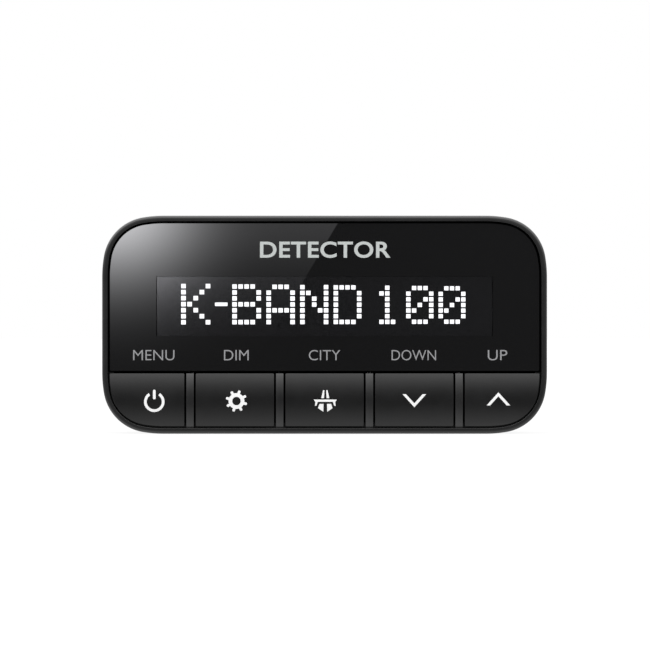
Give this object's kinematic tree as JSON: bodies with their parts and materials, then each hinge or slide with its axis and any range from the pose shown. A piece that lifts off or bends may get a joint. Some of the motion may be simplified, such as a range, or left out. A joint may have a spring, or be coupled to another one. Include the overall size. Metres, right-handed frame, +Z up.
{
  "type": "radar detector",
  "caption": "Dash display head of a split radar detector: smoked display window over a row of crowned push keys in a slim rounded case, with a side cable socket and a rear foam pad.",
  "frame": {"origin": "middle of the bottom edge, halfway between the key crowns and the back of the mounting pad", "axes": "+X to the right as the driver sees the display, +Y back through the case from the display to the pad, +Z up"},
  "size_m": [0.063, 0.015, 0.0309],
  "materials": {
    "casing_plastic": "satin moulded ABS",
    "key_plastic": "satin moulded ABS",
    "key_legend_plastic": "milky translucent",
    "smoked_lens": "gloss smoked acrylic",
    "lens_tape": "acrylic foam tape",
    "gasket_foam": "fine foam",
    "display_glass": "polished",
    "display_holder_plastic": "matt white",
    "ribbon_film": "amber polyimide",
    "connector_plastic": "matt",
    "board_laminate": "solder mask",
    "chip_plastic": "matt",
    "ferrite": "matt",
    "steel_bright": "bright plated",
    "screw_steel": "black zinc",
    "ceramic_tan": "fired",
    "ceramic_dark": "fired",
    "tantalum_case": "moulded",
    "socket_plastic": "moulded nylon",
    "contact_metal": "gold flashed",
    "switch_plastic": "moulded nylon",
    "plunger_plastic": "moulded nylon",
    "lamp_resin": "clear resin",
    "baffle_plastic": "matt white",
    "pad_foam": "closed-cell foam"
  },
  "bodies": {
    "casing": {"front_bezel": "casing_plastic", "rear_housing": "casing_plastic", "mounting_pad": "pad_foam", "housing_screws": "screw_steel", "board_screws": "steel_bright", "display_lens": "smoked_lens", "lens_adhesive": "lens_tape", "display_gasket": "gasket_foam", "display_cover_glass": "display_glass", "display_substrate": "display_glass", "display_holder": "display_holder_plastic", "display_ribbon": "ribbon_film", "ribbon_connector": "connector_plastic", "main_board": "board_laminate", "microcontroller": "chip_plastic", "display_driver": "chip_plastic", "voltage_regulator": "chip_plastic", "power_inductor": "ferrite", "quartz_crystal": "steel_bright", "ceramic_capacitors": "ceramic_tan", "chip_resistors": "ceramic_dark", "tantalum_capacitor": "tantalum_case", "link_socket": "socket_plastic", "socket_contacts": "contact_metal", "light_baffle": "baffle_plastic", "menu_switch_body": "switch_plastic", "menu_switch_dome": "steel_bright", "menu_key_led": "lamp_resin", "dim_switch_body": "switch_plastic", "dim_switch_dome": "steel_bright", "dim_key_led": "lamp_resin", "city_switch_body": "switch_plastic", "city_switch_dome": "steel_bright", "city_key_led": "lamp_resin", "down_switch_body": "switch_plastic", "down_switch_dome": "steel_bright", "down_key_led": "lamp_resin", "up_switch_body": "switch_plastic", "up_switch_dome": "steel_bright", "up_key_led": "lamp_resin"},
    "menu_key": {"menu_key_cap": "key_plastic", "menu_key_icon": "key_legend_plastic", "menu_switch_plunger": "plunger_plastic"},
    "dim_key": {"dim_key_cap": "key_plastic", "dim_key_icon": "key_legend_plastic", "dim_switch_plunger": "plunger_plastic"},
    "city_key": {"city_key_cap": "key_plastic", "city_key_icon": "key_legend_plastic", "city_switch_plunger": "plunger_plastic"},
    "down_key": {"down_key_cap": "key_plastic", "down_key_icon": "key_legend_plastic", "down_switch_plunger": "plunger_plastic"},
    "up_key": {"up_key_cap": "key_plastic", "up_key_icon": "key_legend_plastic", "up_switch_plunger": "plunger_plastic"}
  },
  "joints": [
    {"name": "menu_key_press", "type": "slide", "parent": "casing", "child": "menu_key", "axis": [0, 1, 0], "range_m": [0, 0.0005], "stiffness_N_per_m": 2000, "springref_m": -0.0003, "deforming": ["menu_switch_dome"]},
    {"name": "dim_key_press", "type": "slide", "parent": "casing", "child": "dim_key", "axis": [0, 1, 0], "range_m": [0, 0.0005], "stiffness_N_per_m": 2000, "springref_m": -0.0003, "deforming": ["dim_switch_dome"]},
    {"name": "city_key_press", "type": "slide", "parent": "casing", "child": "city_key", "axis": [0, 1, 0], "range_m": [0, 0.0005], "stiffness_N_per_m": 2000, "springref_m": -0.0003, "deforming": ["city_switch_dome"]},
    {"name": "down_key_press", "type": "slide", "parent": "casing", "child": "down_key", "axis": [0, 1, 0], "range_m": [0, 0.0005], "stiffness_N_per_m": 2000, "springref_m": -0.0003, "deforming": ["down_switch_dome"]},
    {"name": "up_key_press", "type": "slide", "parent": "casing", "child": "up_key", "axis": [0, 1, 0], "range_m": [0, 0.0005], "stiffness_N_per_m": 2000, "springref_m": -0.0003, "deforming": ["up_switch_dome"]}
  ]
}
